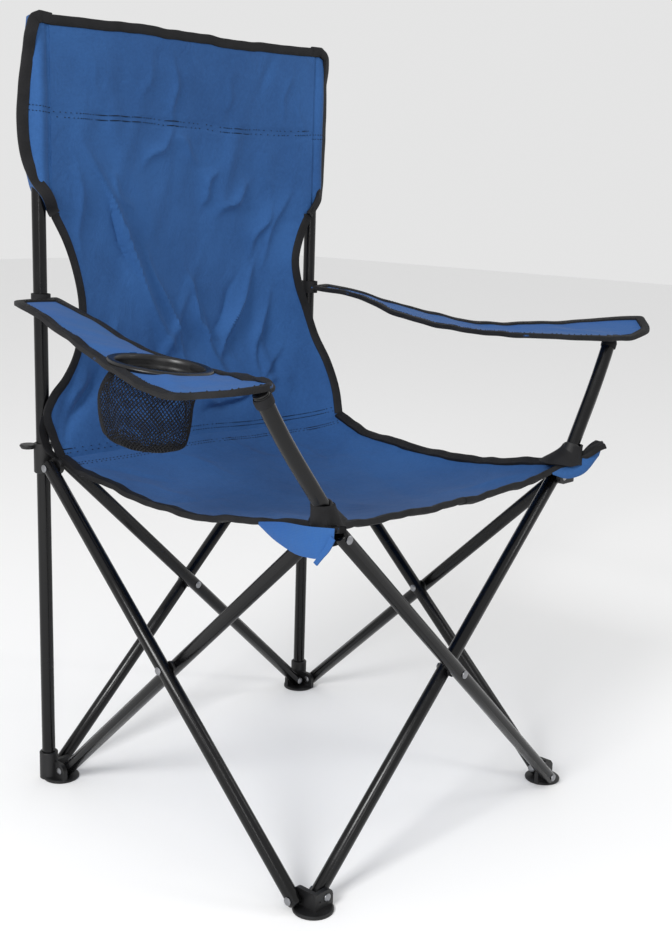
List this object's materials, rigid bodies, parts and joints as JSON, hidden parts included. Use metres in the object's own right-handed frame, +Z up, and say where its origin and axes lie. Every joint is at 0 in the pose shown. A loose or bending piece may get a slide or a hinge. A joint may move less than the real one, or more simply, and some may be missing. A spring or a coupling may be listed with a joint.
{
  "type": "folding camp chair",
  "caption": "Folding quad camp chair: crossed tube frame that bundles to a stick, slung cloth seat and back, cloth armrests and a mesh cup holder.",
  "frame": {"origin": "on the floor, under the middle of the chair's bounding box, unfolded", "axes": "+Z up; the sitter faces -Y and the back is at +Y; +X is towards the sitter's left"},
  "size_m": [0.7408, 0.488, 0.903],
  "materials": {
    "frame_tube": "gloss black powder coat",
    "plastic": "matte black moulded plastic",
    "rivet": "bright zinc",
    "cloth": "plain woven polyester, mid blue",
    "pocket_mesh": "black open mesh"
  },
  "bodies": {
    "rear_right_leg": {"foot_rear_right": "plastic", "post_right": "frame_tube", "post_cap_right": "plastic", "rivet_foot_rear_right_outer": "rivet", "rivet_foot_rear_right_inner": "rivet", "back_panel": "cloth", "back_sleeve_right": "cloth"},
    "bar_right_inner": {"bar_right_inner": "frame_tube"},
    "bar_right_outer": {"bar_right_outer": "frame_tube", "rivet_cross_right": "rivet", "spacer_cross_right": "plastic"},
    "connector_right": {"connector_right": "plastic", "arm_tube_right": "frame_tube", "arm_cap_right": "plastic", "rivet_top_front_right_outer": "rivet", "rivet_top_front_right_inner": "rivet", "armrest_right": "cloth"},
    "front_right_foot": {"foot_front_right": "plastic", "rivet_foot_front_right_outer": "rivet", "rivet_foot_front_right_inner": "rivet"},
    "slider_right": {"slider_right": "plastic", "rivet_top_rear_right_outer": "rivet", "rivet_top_rear_right_inner": "rivet"},
    "bar_rear_outer": {"bar_rear_outer": "frame_tube", "rivet_cross_rear": "rivet", "spacer_cross_rear": "plastic"},
    "bar_rear_inner": {"bar_rear_inner": "frame_tube"},
    "slider_left": {"slider_left": "plastic", "rivet_top_rear_left_outer": "rivet", "rivet_top_rear_left_inner": "rivet"},
    "rear_left_leg": {"foot_rear_left": "plastic", "post_left": "frame_tube", "post_cap_left": "plastic", "rivet_foot_rear_left_outer": "rivet", "rivet_foot_rear_left_inner": "rivet", "back_sleeve_left": "cloth"},
    "bar_left_outer": {"bar_left_outer": "frame_tube", "rivet_cross_left": "rivet", "spacer_cross_left": "plastic"},
    "bar_left_inner": {"bar_left_inner": "frame_tube"},
    "bar_front_outer": {"bar_front_outer": "frame_tube", "rivet_cross_front": "rivet", "spacer_cross_front": "plastic"},
    "bar_front_inner": {"bar_front_inner": "frame_tube"},
    "front_left_foot": {"foot_front_left": "plastic", "rivet_foot_front_left_outer": "rivet", "rivet_foot_front_left_inner": "rivet"},
    "connector_left": {"connector_left": "plastic", "arm_tube_left": "frame_tube", "arm_cap_left": "plastic", "rivet_top_front_left_outer": "rivet", "rivet_top_front_left_inner": "rivet", "armrest_left": "cloth"},
    "seat_right": {"seat_right_half": "cloth"},
    "seat_left": {"seat_left_half": "cloth"},
    "cup_holder": {"cup_ring": "plastic", "cup_pocket": "pocket_mesh"}
  },
  "joints": [
    {"name": "fold", "type": "hinge", "parent": "rear_right_leg", "child": "bar_right_inner", "pos_m": [-0.22086, 0.20101, 0.013], "axis": [-1, 0, 0], "range_deg": [0, 39], "deforming": ["back_panel"]},
    {"name": "cross_right", "type": "hinge", "parent": "bar_right_inner", "child": "bar_right_outer", "pos_m": [-0.22576, -0.00159, 0.20525], "axis": [1, 0, 0], "range_deg": [0, 78]},
    {"name": "top_front_right_inner", "type": "hinge", "parent": "bar_right_inner", "child": "connector_right", "pos_m": [-0.22086, -0.20419, 0.3975], "axis": [1, 0, 0], "range_deg": [0, 39], "deforming": ["armrest_right"]},
    {"name": "foot_front_right_outer", "type": "hinge", "parent": "bar_right_outer", "child": "front_right_foot", "pos_m": [-0.24056, -0.20419, 0.013], "axis": [-1, 0, 0], "range_deg": [0, 39]},
    {"name": "top_rear_right_outer", "type": "hinge", "parent": "bar_right_outer", "child": "slider_right", "pos_m": [-0.24056, 0.20101, 0.3975], "axis": [-1, 0, 0], "range_deg": [0, 39]},
    {"name": "foot_rear_right_outer", "type": "hinge", "parent": "rear_right_leg", "child": "bar_rear_outer", "pos_m": [-0.21066, 0.22711, 0.013], "axis": [0, -1, 0], "range_deg": [0, 39]},
    {"name": "cross_rear", "type": "hinge", "parent": "bar_rear_outer", "child": "bar_rear_inner", "pos_m": [-0.00806, 0.21231, 0.20525], "axis": [0, 1, 0], "range_deg": [0, 78]},
    {"name": "top_rear_left_outer", "type": "hinge", "parent": "bar_rear_outer", "child": "slider_left", "pos_m": [0.19454, 0.22711, 0.3975], "axis": [0, 1, 0], "range_deg": [0, 39]},
    {"name": "foot_rear_left_inner", "type": "hinge", "parent": "bar_rear_inner", "child": "rear_left_leg", "pos_m": [0.19454, 0.20741, 0.013], "axis": [0, -1, 0], "range_deg": [0, 39]},
    {"name": "foot_rear_left_outer", "type": "hinge", "parent": "rear_left_leg", "child": "bar_left_outer", "pos_m": [0.22064, 0.19721, 0.013], "axis": [-1, 0, 0], "range_deg": [0, 39]},
    {"name": "cross_left", "type": "hinge", "parent": "bar_left_outer", "child": "bar_left_inner", "pos_m": [0.20584, -0.00539, 0.20525], "axis": [1, 0, 0], "range_deg": [0, 78]},
    {"name": "top_front_right_outer", "type": "hinge", "parent": "connector_right", "child": "bar_front_outer", "pos_m": [-0.21446, -0.23409, 0.3975], "axis": [0, 1, 0], "range_deg": [0, 39]},
    {"name": "cross_front", "type": "hinge", "parent": "bar_front_outer", "child": "bar_front_inner", "pos_m": [-0.01186, -0.21929, 0.20525], "axis": [0, -1, 0], "range_deg": [0, 78]},
    {"name": "foot_front_left_outer", "type": "hinge", "parent": "bar_front_outer", "child": "front_left_foot", "pos_m": [0.19074, -0.23409, 0.013], "axis": [0, -1, 0], "range_deg": [0, 39]},
    {"name": "top_front_left_inner", "type": "hinge", "parent": "bar_front_inner", "child": "connector_left", "pos_m": [0.19074, -0.21439, 0.3975], "axis": [0, 1, 0], "range_deg": [0, 39], "deforming": ["armrest_left"]},
    {"name": "seat_right_fold", "type": "hinge", "parent": "slider_right", "child": "seat_right", "pos_m": [-0.21126, -0.00349, 0.4103], "axis": [0, 1, 0], "range_deg": [0, 78], "deforming": ["seat_right_half"]},
    {"name": "seat_left_fold", "type": "hinge", "parent": "slider_left", "child": "seat_left", "pos_m": [0.19134, -0.00349, 0.4103], "axis": [0, -1, 0], "range_deg": [0, 78], "deforming": ["seat_left_half"]},
    {"name": "cup_gather", "type": "slide", "parent": "connector_right", "child": "cup_holder", "axis": [0, -1, 0], "range_m": [0, 0.1191]}
  ],
  "couplings": [
    {"joint": "cross_right", "follows": "fold", "ratio": 2},
    {"joint": "top_front_right_inner", "follows": "fold", "ratio": 1},
    {"joint": "foot_front_right_outer", "follows": "fold", "ratio": 1},
    {"joint": "top_rear_right_outer", "follows": "fold", "ratio": 1},
    {"joint": "foot_rear_right_outer", "follows": "fold", "ratio": 1},
    {"joint": "cross_rear", "follows": "fold", "ratio": 2},
    {"joint": "top_rear_left_outer", "follows": "fold", "ratio": 1},
    {"joint": "foot_rear_left_inner", "follows": "fold", "ratio": 1},
    {"joint": "foot_rear_left_outer", "follows": "fold", "ratio": 1},
    {"joint": "cross_left", "follows": "fold", "ratio": 2},
    {"joint": "top_front_right_outer", "follows": "fold", "ratio": 1},
    {"joint": "cross_front", "follows": "fold", "ratio": 2},
    {"joint": "foot_front_left_outer", "follows": "fold", "ratio": 1},
    {"joint": "top_front_left_inner", "follows": "fold", "ratio": 1},
    {"joint": "seat_right_fold", "follows": "fold", "ratio": 2},
    {"joint": "seat_left_fold", "follows": "fold", "ratio": 2},
    {"joint": "cup_gather", "follows": "fold", "m_per_rad": 0.1748}
  ]
}
